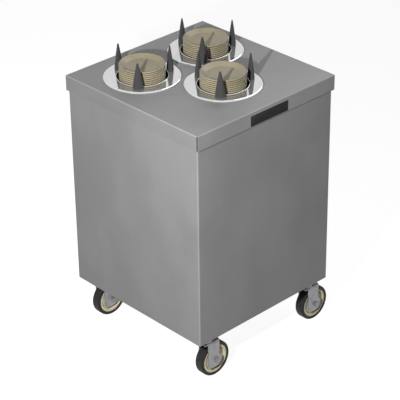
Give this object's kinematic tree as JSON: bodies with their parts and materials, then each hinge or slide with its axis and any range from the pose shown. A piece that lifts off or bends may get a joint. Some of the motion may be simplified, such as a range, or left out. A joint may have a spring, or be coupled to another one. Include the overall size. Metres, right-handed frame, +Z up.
{
  "type": "plate dispenser cart",
  "caption": "Enclosed stainless plate dispenser cart with self-levelling spring carriers under polished rings, guide posts, stacked plates and swivel casters.",
  "frame": {"origin": "on the floor under the middle of the whole cart's box, so the cabinet stands 13.5 mm off it towards -X, as all wheels trail towards +X", "axes": "+Z up, the front of the cart faces -Y, +X to the right seen from the front"},
  "size_m": [0.652, 0.625, 1.0421],
  "materials": {
    "cabinet_steel": "brushed stainless sheet",
    "frame_steel": "plain mill steel",
    "ring_chrome": "mirror polished",
    "tube_steel": "smooth rolled sheet",
    "post_plastic": "moulded, slightly glossy",
    "spring_steel": "drawn wire",
    "shoe_nylon": "natural nylon",
    "plate_china": "glazed beige",
    "caster_zinc": "zinc plated steel",
    "bolt_steel": "bright zinc plated",
    "wheel_core": "moulded tan plastic",
    "tire_rubber": "moulded grey rubber"
  },
  "bodies": {
    "root": {"top_deck": "cabinet_steel", "body_wrap": "cabinet_steel", "back_panel": "cabinet_steel", "base_pan": "frame_steel", "base_rails": "frame_steel", "corner_posts": "frame_steel", "top_frame": "frame_steel", "kingpins": "caster_zinc", "rear_left_ring": "ring_chrome", "rear_left_tube": "tube_steel", "rear_left_guide_posts": "post_plastic", "rear_left_springs": "spring_steel", "rear_right_ring": "ring_chrome", "rear_right_tube": "tube_steel", "rear_right_guide_posts": "post_plastic", "rear_right_springs": "spring_steel", "front_ring": "ring_chrome", "front_tube": "tube_steel", "front_guide_posts": "post_plastic", "front_springs": "spring_steel", "front_left_caster_plate": "caster_zinc", "front_right_caster_plate": "caster_zinc", "rear_left_caster_plate": "caster_zinc", "rear_right_caster_plate": "caster_zinc"},
    "rear_left_carrier": {"rear_left_platform": "tube_steel", "rear_left_column": "frame_steel", "rear_left_spider": "frame_steel", "rear_left_shoes": "shoe_nylon"},
    "rear_left_stack": {"rear_left_plates": "plate_china", "rear_left_top_plate": "plate_china"},
    "rear_right_carrier": {"rear_right_platform": "tube_steel", "rear_right_column": "frame_steel", "rear_right_spider": "frame_steel", "rear_right_shoes": "shoe_nylon"},
    "rear_right_stack": {"rear_right_plates": "plate_china", "rear_right_top_plate": "plate_china"},
    "front_carrier": {"front_platform": "tube_steel", "front_column": "frame_steel", "front_spider": "frame_steel", "front_shoes": "shoe_nylon"},
    "front_stack": {"front_plates": "plate_china", "front_top_plate": "plate_china"},
    "front_left_swivel": {"front_left_fork": "caster_zinc", "front_left_axle": "bolt_steel"},
    "front_left_roller": {"front_left_wheel": "wheel_core", "front_left_tire": "tire_rubber"},
    "front_right_swivel": {"front_right_fork": "caster_zinc", "front_right_axle": "bolt_steel"},
    "front_right_roller": {"front_right_wheel": "wheel_core", "front_right_tire": "tire_rubber"},
    "rear_left_swivel": {"rear_left_fork": "caster_zinc", "rear_left_axle": "bolt_steel"},
    "rear_left_roller": {"rear_left_wheel": "wheel_core", "rear_left_tire": "tire_rubber"},
    "rear_right_swivel": {"rear_right_fork": "caster_zinc", "rear_right_axle": "bolt_steel"},
    "rear_right_roller": {"rear_right_wheel": "wheel_core", "rear_right_tire": "tire_rubber"}
  },
  "joints": [
    {"name": "rear_left_carrier_slide", "type": "slide", "parent": "root", "child": "rear_left_carrier", "axis": [0, 0, 1], "range_m": [-0.3536, 0.1204], "stiffness_N_per_m": 325, "springref_m": 0.193, "deforming": ["rear_left_springs"]},
    {"name": "rear_left_stack_lift", "type": "slide", "parent": "rear_left_carrier", "child": "rear_left_stack", "axis": [0, 0, 1], "range_m": [0, 0.24]},
    {"name": "rear_right_carrier_slide", "type": "slide", "parent": "root", "child": "rear_right_carrier", "axis": [0, 0, 1], "range_m": [-0.3536, 0.1204], "stiffness_N_per_m": 325, "springref_m": 0.193, "deforming": ["rear_right_springs"]},
    {"name": "rear_right_stack_lift", "type": "slide", "parent": "rear_right_carrier", "child": "rear_right_stack", "axis": [0, 0, 1], "range_m": [0, 0.24]},
    {"name": "front_carrier_slide", "type": "slide", "parent": "root", "child": "front_carrier", "axis": [0, 0, 1], "range_m": [-0.3536, 0.1204], "stiffness_N_per_m": 325, "springref_m": 0.193, "deforming": ["front_springs"]},
    {"name": "front_stack_lift", "type": "slide", "parent": "front_carrier", "child": "front_stack", "axis": [0, 0, 1], "range_m": [0, 0.24]},
    {"name": "front_left_swivel", "type": "hinge", "parent": "root", "child": "front_left_swivel", "pos_m": [-0.256, -0.262, 0.145], "axis": [0, 0, 1], "continuous": true},
    {"name": "front_left_spin", "type": "hinge", "parent": "front_left_swivel", "child": "front_left_roller", "pos_m": [-0.2225, -0.262, 0.0635], "axis": [0, 1, 0], "continuous": true},
    {"name": "front_right_swivel", "type": "hinge", "parent": "root", "child": "front_right_swivel", "pos_m": [0.229, -0.262, 0.145], "axis": [0, 0, 1], "continuous": true},
    {"name": "front_right_spin", "type": "hinge", "parent": "front_right_swivel", "child": "front_right_roller", "pos_m": [0.2625, -0.262, 0.0635], "axis": [0, 1, 0], "continuous": true},
    {"name": "rear_left_swivel", "type": "hinge", "parent": "root", "child": "rear_left_swivel", "pos_m": [-0.256, 0.262, 0.145], "axis": [0, 0, 1], "continuous": true},
    {"name": "rear_left_spin", "type": "hinge", "parent": "rear_left_swivel", "child": "rear_left_roller", "pos_m": [-0.2225, 0.262, 0.0635], "axis": [0, 1, 0], "continuous": true},
    {"name": "rear_right_swivel", "type": "hinge", "parent": "root", "child": "rear_right_swivel", "pos_m": [0.229, 0.262, 0.145], "axis": [0, 0, 1], "continuous": true},
    {"name": "rear_right_spin", "type": "hinge", "parent": "rear_right_swivel", "child": "rear_right_roller", "pos_m": [0.2625, 0.262, 0.0635], "axis": [0, 1, 0], "continuous": true}
  ]
}
